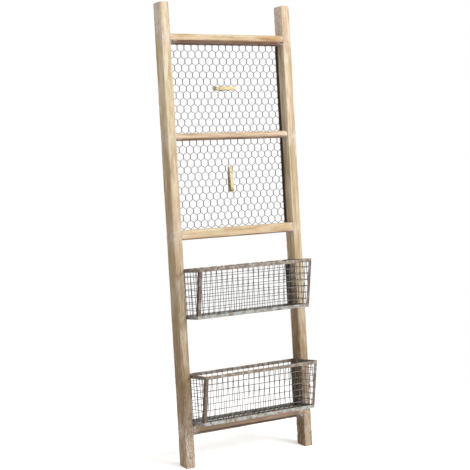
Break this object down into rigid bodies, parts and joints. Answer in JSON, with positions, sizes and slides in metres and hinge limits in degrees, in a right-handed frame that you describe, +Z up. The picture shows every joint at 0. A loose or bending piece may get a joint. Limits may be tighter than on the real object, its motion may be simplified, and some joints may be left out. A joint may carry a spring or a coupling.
{
  "type": "ladder shelf",
  "caption": "Wooden ladder shelf that leans on a wall, with wire baskets between its rails for storage and a chicken-wire panel that holds notes with clothespins.",
  "frame": {"origin": "on the floor plane, in the middle of the shelf's width and of its overall depth as it leans", "axes": "+X to the right seen from the front, +Y from the front towards the wall, +Z up; the rails lean back 6.2 degrees towards +Y"},
  "size_m": [0.478, 0.2664, 1.4412],
  "materials": {
    "rail_wood": "weathered, bare",
    "rung_wood": "weathered, lightly worn",
    "dowel_wood": "bare",
    "clothespin_wood": "bare, pale",
    "chicken_wire": "dull galvanised",
    "basket_wire": "dull galvanised",
    "basket_strip_steel": "patchy rust over galvanising",
    "dark_strip_steel": "dark rust",
    "screw_steel": "dark",
    "spring_steel": "dull"
  },
  "bodies": {
    "ladder": {"left_rail": "rail_wood", "right_rail": "rail_wood", "top_rung": "rung_wood", "middle_rung": "rung_wood", "third_rung": "rung_wood", "bottom_rung": "rung_wood", "rung_dowels": "dowel_wood", "wire_panel": "chicken_wire", "left_edge_strip": "dark_strip_steel", "right_edge_strip": "dark_strip_steel", "edge_strip_nails": "dark_strip_steel", "panel_staples": "chicken_wire", "upper_basket_top_rim": "basket_strip_steel", "upper_basket_bottom_rim": "basket_strip_steel", "upper_basket_front_left_upright": "basket_strip_steel", "upper_basket_front_right_upright": "basket_strip_steel", "upper_basket_rear_left_upright": "basket_strip_steel", "upper_basket_rear_right_upright": "basket_strip_steel", "upper_basket_front_mesh": "basket_wire", "upper_basket_rear_mesh": "basket_wire", "upper_basket_left_mesh": "basket_wire", "upper_basket_right_mesh": "basket_wire", "upper_basket_floor_mesh": "basket_wire", "upper_basket_screws": "screw_steel", "lower_basket_top_rim": "basket_strip_steel", "lower_basket_bottom_rim": "basket_strip_steel", "lower_basket_front_left_upright": "basket_strip_steel", "lower_basket_front_right_upright": "basket_strip_steel", "lower_basket_rear_left_upright": "basket_strip_steel", "lower_basket_rear_right_upright": "basket_strip_steel", "lower_basket_front_mesh": "basket_wire", "lower_basket_rear_mesh": "basket_wire", "lower_basket_left_mesh": "basket_wire", "lower_basket_right_mesh": "basket_wire", "lower_basket_floor_mesh": "basket_wire", "lower_basket_screws": "screw_steel", "upper_pin_spring": "spring_steel", "lower_pin_spring": "spring_steel"},
    "upper_pin_front": {"upper_pin_front_leg": "clothespin_wood"},
    "upper_pin_rear": {"upper_pin_rear_leg": "clothespin_wood"},
    "lower_pin_front": {"lower_pin_front_leg": "clothespin_wood"},
    "lower_pin_rear": {"lower_pin_rear_leg": "clothespin_wood"}
  },
  "joints": [
    {"name": "upper_pin_open", "type": "hinge", "parent": "ladder", "child": "upper_pin_front", "pos_m": [0.007, 0.09956, 1.17407], "axis": [0, 0.108, 0.9942], "range_deg": [0, 7], "stiffness_Nm_per_rad": 0.8, "springref_deg": -17.19, "deforming": ["upper_pin_spring"]},
    {"name": "upper_pin_rear_turn", "type": "hinge", "parent": "ladder", "child": "upper_pin_rear", "pos_m": [0.007, 0.09956, 1.17407], "axis": [0, 0.108, 0.9942], "range_deg": [-7, 0], "stiffness_Nm_per_rad": 0.8, "springref_deg": 17.19},
    {"name": "lower_pin_open", "type": "hinge", "parent": "ladder", "child": "lower_pin_front", "pos_m": [0.0035, 0.06721, 0.87623], "axis": [1, 0, 0], "range_deg": [0, 7], "stiffness_Nm_per_rad": 0.8, "springref_deg": -17.19, "deforming": ["lower_pin_spring"]},
    {"name": "lower_pin_rear_turn", "type": "hinge", "parent": "ladder", "child": "lower_pin_rear", "pos_m": [0.0035, 0.06721, 0.87623], "axis": [1, 0, 0], "range_deg": [-7, 0], "stiffness_Nm_per_rad": 0.8, "springref_deg": 17.19}
  ],
  "couplings": [
    {"joint": "upper_pin_rear_turn", "follows": "upper_pin_open", "ratio": -1},
    {"joint": "lower_pin_rear_turn", "follows": "lower_pin_open", "ratio": -1}
  ]
}
